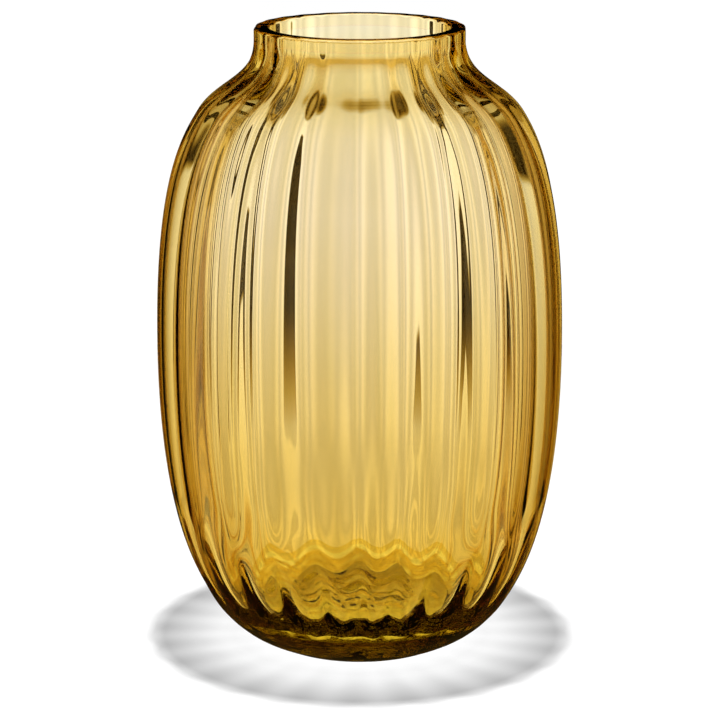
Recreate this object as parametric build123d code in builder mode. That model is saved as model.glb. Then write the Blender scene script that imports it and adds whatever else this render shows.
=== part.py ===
"""Mouth-blown glass vase with 24 soft vertical ribs, as the four bodies of glass that it is made from.

Millimetres, +Z up. The origin is the centre of the foot, where the vase stands.
An inner bubble is blown first, a second gather over it takes the ribs, a thick pad of glass closes the bottom,
and a melted and polished lip closes the top.
"""
from build123d import *
import math
import os

os.makedirs("parts", exist_ok=True)

# Whole vase
height = 255.0
foot_radius = 38.8
belly_radius = 83.0
belly_height = 126.0
neck_radius = 42.5
mouth_radius = 36.0

# Glass at the belly, the shoulder and the bottom
belly_wall = 4.4
shoulder_wall = 4.8
pad_thickness = 15.0
bubble_floor = 2.0
bubble_share = 0.4  # how far the bubble's outside lies from the cavity (0) towards the rib crests (1)

# Outer outline: heel, shoulder and neck, with the reach of each curve's handles
heel_angle = 37.0
heel_reach = 5.8
belly_reach_down = 119.0
belly_reach_up = 64.0
shoulder_radius = 66.4
shoulder_height = 220.0
shoulder_lean = 32.0  # from vertical, towards the axis
shoulder_reach_down = 12.5
shoulder_reach_up = 14.5
neck_height = 250.0
neck_reach = 16.6

# Cavity outline, where it differs from the outer one
floor_radius = 46.0
floor_angle = 15.0
floor_reach = 12.0
cavity_reach_down = 94.0
bore_bottom = 245.5

# Ribs
rib_count = 24
belly_rib_depth = 1.2
lip_rib_depth = 0.5
rib_full = 32.0  # height at which the grooves have their full depth
rib_fade = 205.0  # height from which they grow shallow again

# How finely the lofts and the search for a radius are stepped
section_count = 16
round_sections = 4
halvings = 40

# Lip and foot
lip_height = 5.0
lip_round = 1.4
foot_ring_width = 8.0
punt_depth = 1.0

cavity_floor = pad_thickness + bubble_floor
punt_edge = foot_radius - foot_ring_width
punt_sphere = (punt_edge**2 + punt_depth**2) / (2 * punt_depth)
lip_bottom = height - lip_height
crest = 1.0
cavity = 0.0


def between(inside, outside, share):
    """The value that lies a share of the way from the cavity to the rib crests."""
    return inside + (outside - inside) * share


def outline_points(share):
    """Control points of the wall's outline, as (radius, height), from the bottom up to the neck."""
    heel = math.radians(between(floor_angle, heel_angle, share))
    reach = between(floor_reach, heel_reach, share)
    lean = math.radians(shoulder_lean)
    start = (between(floor_radius, foot_radius, share), between(cavity_floor, 0.0, share))
    belly = between(belly_radius - belly_wall, belly_radius, share)
    inset = between(shoulder_wall, 0.0, share)
    shoulder = (shoulder_radius - inset * math.cos(lean), shoulder_height - inset * math.sin(lean))
    neck = (between(mouth_radius, neck_radius, share), between(bore_bottom, neck_height, share))
    drop = between(cavity_reach_down, belly_reach_down, share)
    lower = [
        start,
        (start[0] + reach * math.cos(heel), start[1] + reach * math.sin(heel)),
        (belly, belly_height - drop),
        (belly, belly_height),
    ]
    upper = [
        (belly, belly_height),
        (belly, belly_height + belly_reach_up),
        (shoulder[0] + shoulder_reach_down * math.sin(lean), shoulder[1] - shoulder_reach_down * math.cos(lean)),
        shoulder,
    ]
    collar = [
        shoulder,
        (shoulder[0] - shoulder_reach_up * math.sin(lean), shoulder[1] + shoulder_reach_up * math.cos(lean)),
        (neck[0], neck[1] - neck_reach),
        neck,
    ]
    return lower, upper, collar


def draw_outline(share, top):
    """Draw the wall's outline in the open BuildLine, from the bottom to the height top."""
    lower, upper, collar = outline_points(share)
    Bezier(*lower)
    Bezier(*upper)
    Bezier(*collar)
    Line(collar[-1], (collar[-1][0], top))


def revolved_form(share, top):
    """A solid of revolution with the wall's outline at this share, closed on the axis."""
    start = outline_points(share)[0][0]
    neck = outline_points(share)[2][-1]
    with BuildPart() as form:
        with BuildSketch(Plane.XZ):
            with BuildLine():
                draw_outline(share, top)
                Line((neck[0], top), (0, top))
                Line((0, top), (0, start[1]))
                Line((0, start[1]), start)
            make_face()
        revolve(axis=Axis.Z)
    return form.part


def ramp(value, low, high):
    """Rises smoothly from 0 at low to 1 at high."""
    t = min(max((value - low) / (high - low), 0.0), 1.0)
    return t * t * (3.0 - 2.0 * t)


def rib_depth(z):
    """Depth of the grooves: none at the base pad, full on the belly, shallow at the lip."""
    depth = belly_rib_depth + (lip_rib_depth - belly_rib_depth) * ramp(z, rib_fade, lip_bottom)
    return depth * ramp(z, pad_thickness, rib_full)


def polar(radius, angle):
    """Point at a radius and an angle in degrees."""
    return (radius * math.cos(math.radians(angle)), radius * math.sin(math.radians(angle)))


def lobed_outline(radius, depth):
    """Closed ring of convex lobes with smooth grooves between them, and a crest on each axis."""
    pitch = 360.0 / rib_count
    for number in range(rib_count):
        middle = number * pitch
        start = middle - pitch / 2
        end = middle + pitch / 2
        Spline(
            polar(radius - depth, start),
            polar(radius, middle),
            polar(radius - depth, end),
            tangents=[polar(1.0, start + 90), polar(1.0, end + 90)],
        )


def radius_at(curve, z):
    """Radius where the curve crosses the height z."""
    low = 0.0
    high = 1.0
    for step in range(halvings):
        middle = (low + high) / 2
        if (curve @ middle).Z < z:
            low = middle
        else:
            high = middle
    return (curve @ low).X


cavity_form = revolved_form(cavity, height)
bubble_form = revolved_form(bubble_share, height)

# Base pad: the thick bottom, ground to a ring that the vase stands on, with a shallow hollow inside it
with BuildPart() as base_pad:
    add(revolved_form(crest, height))
    split(bisect_by=Plane.XY.offset(pad_thickness), keep=Keep.BOTTOM)
    with BuildSketch(Plane.XZ):
        with BuildLine():
            RadiusArc((punt_edge, 0), (0, punt_depth), -punt_sphere)
            Line((0, punt_depth), (0, 0))
            Line((0, 0), (punt_edge, 0))
        make_face()
    revolve(axis=Axis.Z, mode=Mode.SUBTRACT)

# Ribbed gather: the outer glass of the wall, from the pad to the lip
with BuildLine(Plane.XZ) as crest_line:
    draw_outline(crest, height)
crest_wire = crest_line.wire()

with BuildPart() as ribbed_gather:
    for number in range(section_count):
        z = pad_thickness + (lip_bottom - pad_thickness) * number / (section_count - 1)
        with BuildSketch(Plane.XY.offset(z)):
            with BuildLine():
                lobed_outline(radius_at(crest_wire, z), rib_depth(z))
            make_face()
    loft()
    add(bubble_form, mode=Mode.SUBTRACT)

# Inner bubble: the smooth inner glass that holds the water, with its own floor on the pad
with BuildPart() as inner_bubble:
    add(bubble_form)
    split(bisect_by=Plane.XY.offset(pad_thickness), keep=Keep.TOP)
    split(bisect_by=Plane.XY.offset(lip_bottom), keep=Keep.BOTTOM)
    add(cavity_form, mode=Mode.SUBTRACT)

# Polished lip: both layers melted into one ring, flat on top with rounded edges
with BuildPart() as polished_lip:
    with BuildSketch(Plane.XY.offset(lip_bottom)):
        with BuildLine():
            lobed_outline(neck_radius, lip_rib_depth)
        make_face()
    extrude(amount=lip_height - lip_round)
    for number in range(round_sections):
        turn = math.radians(90.0 * number / (round_sections - 1))
        with BuildSketch(Plane.XY.offset(height - lip_round * (1 - math.sin(turn)))):
            with BuildLine():
                lobed_outline(neck_radius - lip_round * (1 - math.cos(turn)), lip_rib_depth)
            make_face()
    loft()
    with BuildSketch(Plane.XY.offset(lip_bottom)):
        Circle(mouth_radius)
    extrude(amount=lip_height, mode=Mode.SUBTRACT)
    mouth_edge = polished_lip.edges().filter_by(GeomType.CIRCLE).sort_by(Axis.Z)[-1]
    fillet(mouth_edge, radius=lip_round)

pieces = {
    "base_pad": base_pad,
    "ribbed_gather": ribbed_gather,
    "inner_bubble": inner_bubble,
    "polished_lip": polished_lip,
}
for name, piece in pieces.items():
    piece.part.label = name
    export_step(piece.part, f"parts/{name}.step")
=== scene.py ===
"""Amber blown-glass vase: four pieces of clear glass that meet as one wall, on a white table.

Metres, in the frame of the CAD model. Every piece is a closed mesh. Where two pieces meet inside the glass,
their faces have a relative index of 1 and let light pass straight on, so the wall looks like one body.
"""
import math

import bpy
import numpy as np
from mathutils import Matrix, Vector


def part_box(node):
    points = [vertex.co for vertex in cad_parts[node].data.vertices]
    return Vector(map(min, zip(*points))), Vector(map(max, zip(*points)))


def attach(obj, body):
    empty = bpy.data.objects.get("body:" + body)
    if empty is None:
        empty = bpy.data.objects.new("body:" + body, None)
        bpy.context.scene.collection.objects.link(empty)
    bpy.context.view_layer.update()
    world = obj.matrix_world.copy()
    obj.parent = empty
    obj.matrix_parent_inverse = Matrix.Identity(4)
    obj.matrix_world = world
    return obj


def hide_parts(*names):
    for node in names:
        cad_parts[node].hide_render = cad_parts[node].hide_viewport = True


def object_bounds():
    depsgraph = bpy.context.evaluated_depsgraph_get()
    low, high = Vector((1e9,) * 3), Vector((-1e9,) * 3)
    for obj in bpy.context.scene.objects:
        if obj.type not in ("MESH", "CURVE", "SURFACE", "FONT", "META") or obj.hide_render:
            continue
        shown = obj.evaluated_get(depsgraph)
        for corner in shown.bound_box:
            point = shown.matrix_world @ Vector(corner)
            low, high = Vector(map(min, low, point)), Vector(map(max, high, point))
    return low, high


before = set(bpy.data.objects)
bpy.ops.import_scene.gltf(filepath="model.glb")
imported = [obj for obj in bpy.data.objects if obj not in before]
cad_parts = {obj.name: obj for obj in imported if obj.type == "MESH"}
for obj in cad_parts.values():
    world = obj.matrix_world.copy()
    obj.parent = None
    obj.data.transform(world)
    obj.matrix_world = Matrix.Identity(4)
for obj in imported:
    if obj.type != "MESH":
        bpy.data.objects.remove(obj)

cad_low, cad_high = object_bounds()

# ---------------------------------------------------------------- sizes from the frame
MM = 0.001
HEIGHT = cad_high[2]
BELLY_RADIUS = cad_high[0]
PAD_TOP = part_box("base_pad")[1][2]
LIP_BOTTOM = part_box("polished_lip")[0][2]
NECK_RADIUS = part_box("polished_lip")[1][0]

# ---------------------------------------------------------------- the wall's outline, as in the CAD model
FOOT_RADIUS = 38.8 * MM
BELLY_HEIGHT = 126.0 * MM
MOUTH_RADIUS = 36.0 * MM
BELLY_WALL = 4.4 * MM
SHOULDER_WALL = 4.8 * MM
BUBBLE_FLOOR = 2.0 * MM
BUBBLE_SHARE = 0.4
HEEL_ANGLE = math.radians(37.0)
HEEL_REACH = 5.8 * MM
BELLY_REACH_DOWN = 119.0 * MM
BELLY_REACH_UP = 64.0 * MM
SHOULDER_RADIUS = 66.4 * MM
SHOULDER_HEIGHT = 220.0 * MM
SHOULDER_LEAN = math.radians(32.0)
SHOULDER_REACH_DOWN = 12.5 * MM
SHOULDER_REACH_UP = 14.5 * MM
NECK_HEIGHT = 250.0 * MM
NECK_REACH = 16.6 * MM
FLOOR_RADIUS = 46.0 * MM
FLOOR_ANGLE = math.radians(15.0)
FLOOR_REACH = 12.0 * MM
CAVITY_REACH_DOWN = 94.0 * MM
BORE_BOTTOM = 245.5 * MM
LIP_ROUND = 1.4 * MM
FOOT_RING_WIDTH = 8.0 * MM
FOOT_EDGE = 0.4 * MM  # the ground ring ends this far within the heel's outline
PUNT_DEPTH = 1.0 * MM
CAVITY_FLOOR = PAD_TOP + BUBBLE_FLOOR

# ---------------------------------------------------------------- ribs and the unevenness of hand-made glass
RIB_COUNT = 24
BELLY_RIB_DEPTH = 1.2 * MM
LIP_RIB_DEPTH = 0.5 * MM
RIB_FULL = 32.0 * MM
RIB_FADE = 205.0 * MM
RIB_WANDER = math.radians(4.8)
INNER_RIB_DEPTH = 2.0 * MM
INNER_RIB_FADE = 32.0 * MM
INNER_RIB_END = 75.0 * MM
STRIA_SLOPE = 0.005
STRIA_LIFT = 0.08  # keeps most of a stria within the outline
STRIA_LOSS = 0.3  # how much shallower the striae are inside the neck
FLOOR_RIPPLE = 0.12 * MM
FLOOR_RIPPLE_FADE = 20.0 * MM
FLOOR_RIPPLE_END = 32.0 * MM
HEEL_RIPPLE = 0.5 * MM
HEEL_LIFT = 0.2  # keeps most of a wave within the outline
HEEL_MARGIN = 3.0 * MM
PUNT_RIPPLE = 0.2 * MM
DIMPLE_WAVES = 14
DIMPLE_LENGTHS = (6.0 * MM, 20.0 * MM)

# ---------------------------------------------------------------- meshes
COLUMNS = RIB_COUNT * 20
OUTER_ROWS = 175
INNER_ROWS = 140
HEEL_ROWS = 60
LAYER_ROWS = 24
FLOOR_ROWS = 30
LIP_ROWS = 6
ROUND_ROWS = 9
OUTLINE_POINTS = 400
JOINT_GAP = 0.02 * MM
JOINT_SHARES = (0.3, 0.7)
LIP_JOINT_SHARES = (0.1, 0.3, 0.7, 0.9)
LIP_TOP_SHARES = (0.25, 0.5, 0.75)
TO_EDGE = np.linspace(0.02, 0.98, FLOOR_ROWS)  # shares of an edge ring's radius
TO_AXIS = TO_EDGE[::-3]
TURN = np.linspace(0.0, 2.0 * math.pi, COLUMNS, endpoint=False)
GLASS, JOINT = 0, 1  # a free face, and one where two pieces meet

# ---------------------------------------------------------------- glass
WHITE = (1.0, 1.0, 1.0, 1.0)
GLASS_INDEX = 1.52
COLOUR_HEIGHTS = (60.0 * MM, 160.0 * MM, 230.0 * MM)
WALL_COLOURS = (
    (0.932, 0.855, 0.660, 1.0),
    (0.982, 0.945, 0.938, 1.0),
    (1.000, 0.975, 1.000, 1.0),
)
LIP_COLOUR = (1.0, 0.92, 0.88, 1.0)
BASE_COLOUR = (0.925, 0.850, 0.440, 1.0)
STEEP_COLOURS = (
    (0.00, WHITE),
    (0.35, (0.98, 0.96, 0.86, 1.0)),
    (0.50, (0.86, 0.72, 0.40, 1.0)),
    (0.65, (0.54, 0.30, 0.03, 1.0)),
)
WALL_ABSORPTION = (0.84, 0.74, 0.0, 1.0)
WALL_DENSITY = 100.0
BASE_ABSORPTION = (0.733, 0.778, 0.0, 1.0)
BASE_DENSITY = 40.0
MIRROR_TINT = (0.60, 0.48, 0.30, 1.0)
SHADOW_COLOURS = ((0.0, WHITE), (1.0, (0.76, 0.76, 0.76, 1.0)))
SHADOW_STREAKS = 0.8

rng = np.random.default_rng(30)


def between(inside, outside, share):
    return inside + (outside - inside) * share


def ramp(value, low, high):
    """Rises smoothly from 0 at low to 1 at high."""
    t = np.clip((value - low) / (high - low), 0.0, 1.0)
    return t * t * (3.0 - 2.0 * t)


# ---------------------------------------------------------------- outline
def bezier(points):
    t = np.linspace(0.0, 1.0, OUTLINE_POINTS)[:, None]
    a, b, c, d = (np.array(p) for p in points)
    return a * (1 - t) ** 3 + 3 * b * t * (1 - t) ** 2 + 3 * c * t * t * (1 - t) + d * t**3


def wall_outline(share):
    """The wall's outline as many points (radius, height). Share 0 is the cavity and share 1 the crests."""
    heel = between(FLOOR_ANGLE, HEEL_ANGLE, share)
    reach = between(FLOOR_REACH, HEEL_REACH, share)
    start = (between(FLOOR_RADIUS, FOOT_RADIUS, share), between(CAVITY_FLOOR, 0.0, share))
    belly = between(BELLY_RADIUS - BELLY_WALL, BELLY_RADIUS, share)
    inset = between(SHOULDER_WALL, 0.0, share)
    lean_in, lean_up = math.sin(SHOULDER_LEAN), math.cos(SHOULDER_LEAN)
    shoulder = (SHOULDER_RADIUS - inset * lean_up, SHOULDER_HEIGHT - inset * lean_in)
    neck = (between(MOUTH_RADIUS, NECK_RADIUS, share), between(BORE_BOTTOM, NECK_HEIGHT, share))
    drop = between(CAVITY_REACH_DOWN, BELLY_REACH_DOWN, share)
    lower = bezier([
        start,
        (start[0] + reach * math.cos(heel), start[1] + reach * math.sin(heel)),
        (belly, BELLY_HEIGHT - drop),
        (belly, BELLY_HEIGHT),
    ])
    upper = bezier([
        (belly, BELLY_HEIGHT),
        (belly, BELLY_HEIGHT + BELLY_REACH_UP),
        (shoulder[0] + SHOULDER_REACH_DOWN * lean_in, shoulder[1] - SHOULDER_REACH_DOWN * lean_up),
        shoulder,
    ])
    collar = bezier([
        shoulder,
        (shoulder[0] - SHOULDER_REACH_UP * lean_in, shoulder[1] + SHOULDER_REACH_UP * lean_up),
        (neck[0], neck[1] - NECK_REACH),
        neck,
    ])
    top = np.array([(neck[0], HEIGHT)])
    return np.concatenate([lower, upper[1:], collar[1:], top])


def rows_between(outline, low, high, count):
    """Evenly spaced points of an outline between two heights, both included."""
    radius, height = outline[:, 0], outline[:, 1]
    inner = (height > low) & (height < high)
    ends = np.array([(np.interp(z, height, radius), z) for z in (low, high)])
    cut = np.concatenate([ends[:1], outline[inner], ends[1:]])
    along = np.concatenate([[0.0], np.cumsum(np.hypot(*np.diff(cut, axis=0).T))])
    steps = np.linspace(0.0, along[-1], count)
    return np.stack([np.interp(steps, along, cut[:, 0]), np.interp(steps, along, cut[:, 1])], axis=1)


# ---------------------------------------------------------------- unevenness
class Waves:
    """A smooth random pattern around the vase that changes slowly with height. Its slopes stay near 1."""

    def __init__(self, lowest, highest, count, length):
        self.turns = rng.integers(lowest, highest + 1, count)
        self.phase = rng.uniform(0.0, 2.0 * math.pi, count)
        self.drift = rng.uniform(-1.0, 1.0, count) * 2.0 * math.pi / length

    def at(self, turn, height):
        total = 0.0
        for turns, phase, drift in zip(self.turns, self.phase, self.drift):
            total = total + np.sin(turns * turn + phase + drift * height) / turns
        return total / math.sqrt(len(self.turns) / 2.0)


wander = Waves(lowest=2, highest=9, count=6, length=900 * MM)
unevenness = Waves(lowest=2, highest=11, count=8, length=500 * MM)
inner_striae = Waves(lowest=22, highest=78, count=16, length=160 * MM)
outer_striae = Waves(lowest=18, highest=60, count=12, length=200 * MM)
heel_pattern = Waves(lowest=6, highest=40, count=18, length=4 * MM)


def groove_depth(height):
    depth = between(BELLY_RIB_DEPTH, LIP_RIB_DEPTH, ramp(height, RIB_FADE, LIP_BOTTOM))
    return depth * ramp(height, PAD_TOP, RIB_FULL)


def rib_shape(turn, height):
    """0 on a crest and 1 in a groove, with the ribs a little out of their even places."""
    place = turn + RIB_WANDER * wander.at(turn, height)
    return 0.5 - 0.5 * np.cos(RIB_COUNT * place)


def stria_depth(striae, turn, height):
    return STRIA_SLOPE * BELLY_RADIUS * (striae.at(turn, height) + STRIA_LIFT)


def ribbed(height):
    """How far the outside lies within the crests' outline."""
    turn = TURN[None, :]
    depth = groove_depth(height) * (1.0 + unevenness.at(turn, height))
    stria = np.maximum(stria_depth(outer_striae, turn, height), 0.0)
    return depth * rib_shape(turn, height) + stria * ramp(height, PAD_TOP, RIB_FULL)


def streaked(height):
    """How far the inside lies within the cavity's outline."""
    turn = TURN[None, :]
    fade = ramp(height, CAVITY_FLOOR, RIB_FULL) * (1.0 - STRIA_LOSS * ramp(height, RIB_FADE, BORE_BOTTOM))
    depth = INNER_RIB_DEPTH * (1.0 - ramp(height, INNER_RIB_FADE, INNER_RIB_END))
    return stria_depth(inner_striae, turn, height) * fade + depth * rib_shape(turn, height)


def heel_waves(height):
    """How far the heel lies within its outline: low waves, which leave its two edges alone."""
    fade = ramp(height, 0.0, HEEL_MARGIN) * (1.0 - ramp(height, PAD_TOP - HEEL_MARGIN, PAD_TOP))
    return HEEL_RIPPLE * fade * (heel_pattern.at(TURN[None, :], height) + HEEL_LIFT)


def smooth(height):
    return 0.0 * TURN[None, :]


def floor_ripple(height):
    return FLOOR_RIPPLE * (1.0 - ramp(height, FLOOR_RIPPLE_FADE, FLOOR_RIPPLE_END))


def punt_ripple(height):
    return PUNT_RIPPLE * height / PUNT_DEPTH


def rippled(rings, depth):
    """Shallow dimples all over the rings, as deep as depth says for each height."""
    x, y, height = (rings[:, :, axis] for axis in range(3))
    total = 0.0
    for number in range(DIMPLE_WAVES):
        angle, phase = rng.uniform(0.0, 2.0 * math.pi, 2)
        length = rng.uniform(*DIMPLE_LENGTHS)
        along = x * math.cos(angle) + y * math.sin(angle)
        total = total + np.sin(2.0 * math.pi * along / length + phase)
    result = rings.copy()
    result[:, :, 2] += depth(height) * total / math.sqrt(DIMPLE_WAVES / 2.0)
    return result


# ---------------------------------------------------------------- rings of points and the meshes they make
def grid(rows, inset):
    """Rings of points, one for each row (radius, height), set in from the outline."""
    height = rows[:, 1][:, None]
    radius = rows[:, 0][:, None] - inset(height)
    height = height + 0.0 * TURN[None, :]
    return np.stack([radius * np.cos(TURN), radius * np.sin(TURN), height], axis=2)


def across(ring_out, ring_in, shares, lift):
    """Rings across a flat face, from one edge ring to another."""
    return np.array([ring_out + (ring_in - ring_out) * s + np.array([0.0, 0.0, lift]) for s in shares])


def disc(ring, shares, lift):
    """Rings that shrink an edge ring towards the axis."""
    return np.array([ring * np.array([s, s, 1.0]) + np.array([0.0, 0.0, lift]) for s in shares])


class Shell:
    """Collects rings of points, joined by quads, into one closed mesh."""

    def __init__(self):
        self.rings = []
        self.kinds = []

    def add(self, rings, kind):
        """Adds a stack of rings; the quads that lead up to and through it are of this kind."""
        for ring in rings:
            self.rings.append(ring)
            self.kinds.append(kind)

    def quads(self, closed):
        """The faces between each ring and the next, and the kind of each face."""
        count = len(self.rings)
        column = np.arange(COLUMNS)
        after = (column + 1) % COLUMNS
        faces = []
        kinds = []
        for row in range(count if closed else count - 1):
            upper = (row + 1) % count
            a, b = row * COLUMNS, upper * COLUMNS
            faces += np.stack([a + column, a + after, b + after, b + column], axis=1).tolist()
            kinds += [self.kinds[upper]] * COLUMNS
        return faces, kinds

    def fans(self):
        """The triangles that close both ends, and their kinds. Two points on the axis follow the rings."""
        last = (len(self.rings) - 1) * COLUMNS
        first_pole = last + COLUMNS
        faces = []
        for column in range(COLUMNS):
            after = (column + 1) % COLUMNS
            faces.append([column, first_pole, after])
            faces.append([last + column, last + after, first_pole + 1])
        return faces, [self.kinds[0], self.kinds[-1]] * COLUMNS

    def build(self, name, closed, inside_out=False):
        """closed joins the last ring to the first; otherwise both ends shrink to a point on the axis."""
        verts = np.concatenate(self.rings)
        faces, kinds = self.quads(closed)
        if not closed:
            ends = [[0.0, 0.0, ring[:, 2].mean()] for ring in (self.rings[0], self.rings[-1])]
            verts = np.concatenate([verts, ends])
            end_faces, end_kinds = self.fans()
            faces += end_faces
            kinds += end_kinds
        mesh = bpy.data.meshes.new(name)
        mesh.from_pydata(verts.tolist(), [], faces)
        mesh.polygons.foreach_set("use_smooth", [True] * len(mesh.polygons))
        index = mesh.attributes.new("relative_index", "FLOAT", "FACE")
        index.data.foreach_set("value", [GLASS_INDEX if kind == GLASS else 1.0 for kind in kinds])
        if inside_out:
            mesh.flip_normals()
        sharpen_joints(mesh, kinds)
        mesh.update()
        piece = bpy.data.objects.new(name, mesh)
        bpy.context.scene.collection.objects.link(piece)
        return piece


def sharpen_joints(mesh, kinds):
    """Edges between a free face and a joint face are sharp, so the joint doesn't bend the shading."""
    edge_of_loop = np.zeros(len(mesh.loops), dtype=np.int64)
    mesh.loops.foreach_get("edge_index", edge_of_loop)
    sizes = np.zeros(len(mesh.polygons), dtype=np.int64)
    mesh.polygons.foreach_get("loop_total", sizes)
    kind_of_loop = np.repeat(np.array(kinds), sizes)
    joints = np.zeros(len(mesh.edges))
    np.add.at(joints, edge_of_loop, kind_of_loop)
    sharp = mesh.attributes.get("sharp_edge") or mesh.attributes.new("sharp_edge", "BOOLEAN", "EDGE")
    sharp.data.foreach_set("value", joints == 1)


# ---------------------------------------------------------------- nodes
def plug(tree, value, socket):
    """Joins an output to a socket, or sets the socket to a number or a colour."""
    if isinstance(value, bpy.types.NodeSocket):
        tree.links.new(value, socket)
    else:
        socket.default_value = value


def maths(tree, operation, *values):
    node = tree.nodes.new("ShaderNodeMath")
    node.operation = operation
    for socket, value in zip(node.inputs, values):
        plug(tree, value, socket)
    return node.outputs["Value"]


def product(tree, first, *others):
    for other in others:
        first = maths(tree, "MULTIPLY", first, other)
    return first


def step(tree, value, limits, interpolation="SMOOTHSTEP"):
    """limits are (low, high, first, last): the result goes from first at low to last at high."""
    node = tree.nodes.new("ShaderNodeMapRange")
    node.interpolation_type = interpolation
    plug(tree, value, node.inputs["Value"])
    for name, limit in zip(("From Min", "From Max", "To Min", "To Max"), limits):
        node.inputs[name].default_value = limit
    return node.outputs["Result"]


def colour_ramp(tree, value, stops):
    """The colour at value between the stops (position, colour)."""
    node = tree.nodes.new("ShaderNodeValToRGB")
    elements = node.color_ramp.elements
    elements[0].position, elements[0].color = stops[0]
    elements[1].position, elements[1].color = stops[-1]
    for position, colour in stops[1:-1]:
        elements.new(position).color = colour
    plug(tree, value, node.inputs["Fac"])
    return node.outputs["Color"]


def tinted(tree, colour, tint):
    node = tree.nodes.new("ShaderNodeMix")
    node.data_type = "RGBA"
    node.blend_type = "MULTIPLY"
    node.inputs["Factor"].default_value = 1.0
    plug(tree, colour, node.inputs["A"])
    plug(tree, tint, node.inputs["B"])
    return node.outputs["Result"]


def coordinates(tree, kind):
    """The X, Y and Z outputs of a kind of texture coordinate."""
    place = tree.nodes.new("ShaderNodeTexCoord")
    split = tree.nodes.new("ShaderNodeSeparateXYZ")
    plug(tree, place.outputs[kind], split.inputs["Vector"])
    return [split.outputs[axis] for axis in "XYZ"]


# ---------------------------------------------------------------- materials
def steepness(tree, index):
    """How steeply the glass's free surface is met, from 0, straight on, to 1, edge on. A joint has 0."""
    facing = tree.nodes.new("ShaderNodeLayerWeight")
    facing.inputs["Blend"].default_value = 0.5
    free = step(tree, index, (1.0, GLASS_INDEX, 0.0, 1.0), "LINEAR")
    return product(tree, facing.outputs["Facing"], free)


def colour_by_height(tree, height, colours):
    """The colours at the COLOUR_HEIGHTS, with even changes between them."""
    lowest, highest = COLOUR_HEIGHTS[0], COLOUR_HEIGHTS[-1]
    share = step(tree, height, (lowest, highest, 0.0, 1.0), "LINEAR")
    positions = [(level - lowest) / (highest - lowest) for level in COLOUR_HEIGHTS]
    return colour_ramp(tree, share, list(zip(positions, colours)))


def lamp_colour(tree, x, y, steep):
    """What passes of a lamp's light: less where it meets the glass steeply, with a streak for each rib."""
    wave = maths(tree, "COSINE", product(tree, maths(tree, "ARCTAN2", y, x), float(RIB_COUNT)))
    streak = step(tree, wave, (-1.0, 1.0, 1.0, SHADOW_STREAKS), "LINEAR")
    return colour_ramp(tree, product(tree, steep, streak), SHADOW_COLOURS)


def for_lamps(tree, path, shader, lamp_shader, socket):
    """Gives the socket the shader, or the lamp_shader for rays from lamps; None lets them through."""
    mix = tree.nodes.new("ShaderNodeMixShader")
    plug(tree, path.outputs["Is Shadow Ray"], mix.inputs["Fac"])
    plug(tree, shader, mix.inputs[1])
    if lamp_shader:
        plug(tree, lamp_shader, mix.inputs[2])
    plug(tree, mix.outputs["Shader"], socket)


def glass_material(name, colours, absorption, density):
    """Clear coloured glass, with one colour or one for each of the COLOUR_HEIGHTS.

    The colour deepens where the surface is seen steeply, and along each ray's way through the glass.
    """
    material = bpy.data.materials.new(name)
    material.use_nodes = True
    tree = material.node_tree
    shader = tree.nodes["Principled BSDF"]
    output = tree.nodes["Material Output"]
    path = tree.nodes.new("ShaderNodeLightPath")
    shader.inputs["Roughness"].default_value = 0.0
    shader.inputs["Transmission Weight"].default_value = 1.0
    shader.inputs["Specular Tint"].default_value = MIRROR_TINT

    index = tree.nodes.new("ShaderNodeAttribute")
    index.attribute_name = "relative_index"
    plug(tree, index.outputs["Fac"], shader.inputs["IOR"])

    x, y, z = coordinates(tree, "Object")
    steep = steepness(tree, index.outputs["Fac"])
    own_colour = colours[0] if len(colours) == 1 else colour_by_height(tree, z, colours)
    colour = tinted(tree, own_colour, colour_ramp(tree, steep, STEEP_COLOURS))
    plug(tree, colour, shader.inputs["Base Color"])

    clear = tree.nodes.new("ShaderNodeBsdfTransparent")
    plug(tree, lamp_colour(tree, x, y, steep), clear.inputs["Color"])
    for_lamps(tree, path, shader.outputs["BSDF"], clear.outputs["BSDF"], output.inputs["Surface"])

    volume = tree.nodes.new("ShaderNodeVolumeAbsorption")
    volume.inputs["Color"].default_value = absorption
    volume.inputs["Density"].default_value = density
    for_lamps(tree, path, volume.outputs["Volume"], None, output.inputs["Volume"])
    return material


wall_glass = glass_material("amber_glass", WALL_COLOURS, WALL_ABSORPTION, WALL_DENSITY)
lip_glass = glass_material("amber_lip_glass", (LIP_COLOUR,), WALL_ABSORPTION, WALL_DENSITY)
base_glass = glass_material("amber_base_glass", (BASE_COLOUR,), BASE_ABSORPTION, BASE_DENSITY)


def finish_piece(piece, node, material):
    piece.data.materials.append(material)
    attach(piece, "root")
    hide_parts(node)


# ---------------------------------------------------------------- the four pieces
crests = wall_outline(1.0)
layer = wall_outline(BUBBLE_SHARE)
inside = wall_outline(0.0)

outer_wall = grid(rows_between(crests, PAD_TOP, LIP_BOTTOM, OUTER_ROWS), ribbed)
inner_wall = grid(rows_between(inside, CAVITY_FLOOR, LIP_BOTTOM, INNER_ROWS), streaked)
layer_rows = rows_between(layer, PAD_TOP, LIP_BOTTOM, LAYER_ROWS)
layer_outside = grid(layer_rows + np.array([JOINT_GAP, 0.0]), smooth)
layer_inside = grid(layer_rows - np.array([JOINT_GAP, 0.0]), smooth)


def make_ribbed_gather():
    """The outer glass of the wall, with the ribs."""
    shell = Shell()
    shell.add(outer_wall, GLASS)
    shell.add(across(outer_wall[-1], layer_outside[-1], JOINT_SHARES, -JOINT_GAP), JOINT)
    shell.add(layer_outside[::-1], JOINT)
    shell.add(across(layer_outside[0], outer_wall[0], JOINT_SHARES, JOINT_GAP), JOINT)
    shell.kinds[0] = JOINT
    piece = shell.build("ribbed_gather_glass", closed=True)
    finish_piece(piece, "ribbed_gather", wall_glass)


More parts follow.
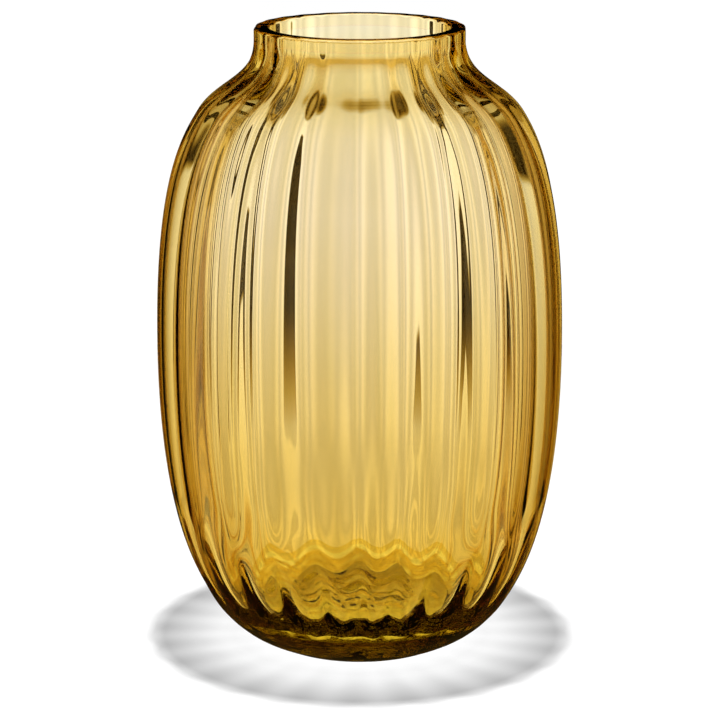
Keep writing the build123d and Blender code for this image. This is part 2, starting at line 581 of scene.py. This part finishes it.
def make_inner_bubble():
    """The inner glass of the wall, with the cavity's floor."""
    shell = Shell()
    floor_and_wall = np.concatenate([disc(inner_wall[0], TO_EDGE, 0.0), inner_wall])
    shell.add(rippled(floor_and_wall, floor_ripple), GLASS)
    shell.add(across(inner_wall[-1], layer_inside[-1], JOINT_SHARES, -JOINT_GAP), JOINT)
    shell.add(layer_inside[::-1], JOINT)
    shell.add(disc(layer_inside[0], TO_AXIS, JOINT_GAP), JOINT)
    piece = shell.build("inner_bubble_glass", closed=False, inside_out=True)
    finish_piece(piece, "inner_bubble", wall_glass)


def make_polished_lip():
    """The ring that closes the wall at the top, ground flat, with melted edges."""
    corner = np.linspace(0.0, 0.5 * math.pi, ROUND_ROWS)
    inset = LIP_ROUND * (1.0 - np.cos(corner))
    rise = HEIGHT - LIP_ROUND * (1.0 - np.sin(corner))
    straight = np.linspace(LIP_BOTTOM, HEIGHT - LIP_ROUND, LIP_ROWS)[:-1]
    outer = np.concatenate([
        np.stack([0.0 * straight + NECK_RADIUS, straight], axis=1),
        np.stack([NECK_RADIUS - inset, rise], axis=1),
    ])
    inner = np.concatenate([
        np.stack([MOUTH_RADIUS + inset[::-1], rise[::-1]], axis=1),
        np.stack([0.0 * straight + MOUTH_RADIUS, straight[::-1]], axis=1),
    ])
    outside = grid(outer, ribbed)
    bore = grid(inner, streaked)
    shell = Shell()
    shell.add(outside, GLASS)
    shell.add(across(outside[-1], bore[0], LIP_TOP_SHARES, 0.0), GLASS)
    shell.add(bore, GLASS)
    shell.add(across(bore[-1], outside[0], LIP_JOINT_SHARES, JOINT_GAP), JOINT)
    shell.kinds[0] = JOINT
    piece = shell.build("polished_lip_glass", closed=True)
    finish_piece(piece, "polished_lip", lip_glass)


def make_base_pad():
    """The thick bottom, with its ground ring and the shallow hollow inside it."""
    punt_edge = FOOT_RADIUS - FOOT_RING_WIDTH
    punt = np.stack([punt_edge * TO_EDGE, PUNT_DEPTH * (1.0 - TO_EDGE**2)], axis=1)
    ring = np.array([(punt_edge, 0.0), (FOOT_RADIUS - FOOT_EDGE, 0.0)])
    shell = Shell()
    shell.add(rippled(grid(punt, smooth), punt_ripple), GLASS)
    shell.add(grid(ring, smooth), GLASS)
    shell.add(grid(rows_between(crests, 0.0, PAD_TOP, HEEL_ROWS), heel_waves), GLASS)
    shell.add(disc(outer_wall[0], TO_AXIS, -JOINT_GAP), JOINT)
    piece = shell.build("base_pad_glass", closed=False)
    finish_piece(piece, "base_pad", base_glass)


make_ribbed_gather()
make_inner_bubble()
make_polished_lip()
make_base_pad()

# ---------------------------------------------------------------- table
TABLE_RADIUS = 0.50
TABLE_CORNERS = 128
TABLE_COLOUR = (0.9, 0.9, 0.9, 1.0)
TABLE_ROUGHNESS = 0.7


def make_table():
    """A round white table, which neither shows through the glass nor is mirrored on it."""
    mesh = bpy.data.meshes.new("table")
    turns = np.linspace(0.0, 2.0 * math.pi, TABLE_CORNERS, endpoint=False)
    ring = [(TABLE_RADIUS * math.cos(a), TABLE_RADIUS * math.sin(a), 0.0) for a in turns]
    mesh.from_pydata(ring, [], [list(range(len(ring)))])
    table = bpy.data.objects.new("table", mesh)
    bpy.context.scene.collection.objects.link(table)
    material = bpy.data.materials.new("white_table")
    material.use_nodes = True
    shader = material.node_tree.nodes["Principled BSDF"]
    shader.inputs["Roughness"].default_value = TABLE_ROUGHNESS
    shader.inputs["Specular IOR Level"].default_value = 0.0
    shader.inputs["Base Color"].default_value = TABLE_COLOUR
    mesh.materials.append(material)
    table.visible_transmission = False
    table.visible_glossy = False


# ---------------------------------------------------------------- surroundings
# A direction's rise is the sine of its height above the horizon, and its offset is the angle around the
# vase from the middle of the nearest panel. Each tuple of four is (low, high, first, last), as for step().
CAMERA_TURN = math.radians(-5.5)
PANEL_COUNT = 8
BAR_START = math.radians(12.4)
BAR_END = math.radians(17.0)
BAR_SOFTNESS = math.radians(0.8)
BAR_STEP_IN = (BAR_START - BAR_SOFTNESS, BAR_START, 0.0, 1.0)
BAR_STEP_OUT = (BAR_END, BAR_END + BAR_SOFTNESS, 1.0, 0.0)
BAR_FOOT = (-0.29, -0.23, 0.25, 1.0)
PANEL_GLOW = (0.0, BAR_START, 0.97, 1.40)
GROUND_GLOW = (-0.75, -0.30, 1.3, 1.0)
PANEL_TOP = (0.03, 0.10, 1.0, 0.0)
BAND_GLOW = (math.radians(4.5), math.radians(9.5), 0.02, 0.50)
OVERHEAD_GLOW = (0.28, 0.42, 0.0, 0.55)
WARM_COLOURS = (
    (0.00, (1.0, 0.60, 0.12, 1.0)),
    (0.30, (1.0, 0.70, 0.18, 1.0)),
    (0.60, (1.0, 0.83, 0.38, 1.0)),
    (0.95, WHITE),
)
MIRRORED_SHARE = 0.03
SOFTBOX_STRENGTH = 0.9
SOFTBOX_SIDE = (0.25, 0.75, 1.0, 0.0)
SOFTBOX_FOOT = (-0.40, -0.15, 0.0, 1.0)
SOFTBOX_TOP = (0.25, 0.45, 1.0, 0.0)


def panel_light(tree, turned, rise, diffuse):
    """Bright panels with dark bars between them, a dim band above them and a dimmer glow overhead.

    The table doesn't get the light of the band and the glow, so that they leave its shadow alone.
    """
    offset = maths(tree, "PINGPONG", turned, math.pi / PANEL_COUNT)
    bar = product(tree, step(tree, offset, BAR_STEP_IN), step(tree, offset, BAR_STEP_OUT))
    bar = product(tree, bar, step(tree, rise, BAR_FOOT))
    above = maths(tree, "MAXIMUM", step(tree, offset, BAND_GLOW), step(tree, rise, OVERHEAD_GLOW))
    above = product(tree, above, maths(tree, "SUBTRACT", 1.0, diffuse))
    height = maths(tree, "MAXIMUM", step(tree, rise, PANEL_TOP), above)
    glow = product(tree, step(tree, offset, PANEL_GLOW), step(tree, rise, GROUND_GLOW))
    return product(tree, maths(tree, "SUBTRACT", 1.0, bar), glow, height)


def mirrored_light(tree, turned, rise, panels):
    """What the outside of the glass mirrors: a softbox in front of the vase, and a little of the panels."""
    from_front = maths(tree, "PINGPONG", maths(tree, "ADD", turned, 0.5 * math.pi), math.pi)
    height = product(tree, step(tree, rise, SOFTBOX_FOOT), step(tree, rise, SOFTBOX_TOP))
    softbox = product(tree, step(tree, from_front, SOFTBOX_SIDE), height)
    share = product(tree, panels, MIRRORED_SHARE)
    return maths(tree, "MULTIPLY_ADD", softbox, SOFTBOX_STRENGTH, share)


def make_surroundings():
    """White straight behind the vase. The glass shows the panels, a warm brown where they are dim."""
    world = bpy.data.worlds.new("studio")
    bpy.context.scene.world = world
    world.use_nodes = True
    tree = world.node_tree
    path = tree.nodes.new("ShaderNodeLightPath")
    diffuse = path.outputs["Is Diffuse Ray"]
    x, y, rise = coordinates(tree, "Generated")
    turned = maths(tree, "SUBTRACT", maths(tree, "ARCTAN2", y, x), CAMERA_TURN)
    panels = panel_light(tree, turned, rise, diffuse)

    seen = tree.nodes.new("ShaderNodeMix")
    mirrored = maths(tree, "SUBTRACT", path.outputs["Is Glossy Ray"], path.outputs["Is Transmission Ray"])
    plug(tree, mirrored, seen.inputs["Factor"])
    plug(tree, panels, seen.inputs["A"])
    plug(tree, mirrored_light(tree, turned, rise, panels), seen.inputs["B"])
    strength = maths(tree, "MAXIMUM", seen.outputs["Result"], path.outputs["Is Camera Ray"])
    colour = colour_ramp(tree, maths(tree, "MAXIMUM", strength, diffuse), WARM_COLOURS)
    plug(tree, strength, tree.nodes["Background"].inputs["Strength"])
    plug(tree, colour, tree.nodes["Background"].inputs["Color"])


# ---------------------------------------------------------------- lamp
LAMP_POWER = 46.0
LAMP_SIZE = 0.07
LAMP_HEIGHT = 1.9


def make_lamp():
    """A small lamp straight above, which throws the ring-shaped shadow. The glass doesn't mirror it."""
    data = bpy.data.lights.new("top_lamp", "AREA")
    data.shape = "DISK"
    data.size = LAMP_SIZE
    data.energy = LAMP_POWER
    lamp = bpy.data.objects.new("top_lamp", data)
    lamp.location = (0.0, 0.0, LAMP_HEIGHT)
    lamp.visible_camera = False
    lamp.visible_glossy = False
    lamp.visible_transmission = False
    bpy.context.scene.collection.objects.link(lamp)


# ---------------------------------------------------------------- camera
CAMERA_DISTANCE = 1.1253
CAMERA_HEIGHT = 0.4105
CAMERA_PITCH = math.radians(14.606)
CAMERA_LENS = 141.5
SENSOR_WIDTH = 36.0


def make_camera():
    data = bpy.data.cameras.new("camera")
    data.lens = CAMERA_LENS
    data.sensor_width = SENSOR_WIDTH
    camera = bpy.data.objects.new("camera", data)
    camera.location = (
        CAMERA_DISTANCE * math.sin(CAMERA_TURN),
        -CAMERA_DISTANCE * math.cos(CAMERA_TURN),
        CAMERA_HEIGHT,
    )
    camera.rotation_euler = (math.radians(90.0) - CAMERA_PITCH, 0.0, CAMERA_TURN)
    bpy.context.scene.collection.objects.link(camera)
    bpy.context.scene.camera = camera


make_table()
make_surroundings()
make_lamp()
make_camera()

scene = bpy.context.scene
scene.view_settings.view_transform = "Standard"
scene.cycles.max_bounces = 32
scene.cycles.transmission_bounces = 32
scene.cycles.transparent_max_bounces = 64
scene.cycles.glossy_bounces = 16
scene.cycles.caustics_refractive = False
scene.cycles.caustics_reflective = False
scene.cycles.use_denoising = True
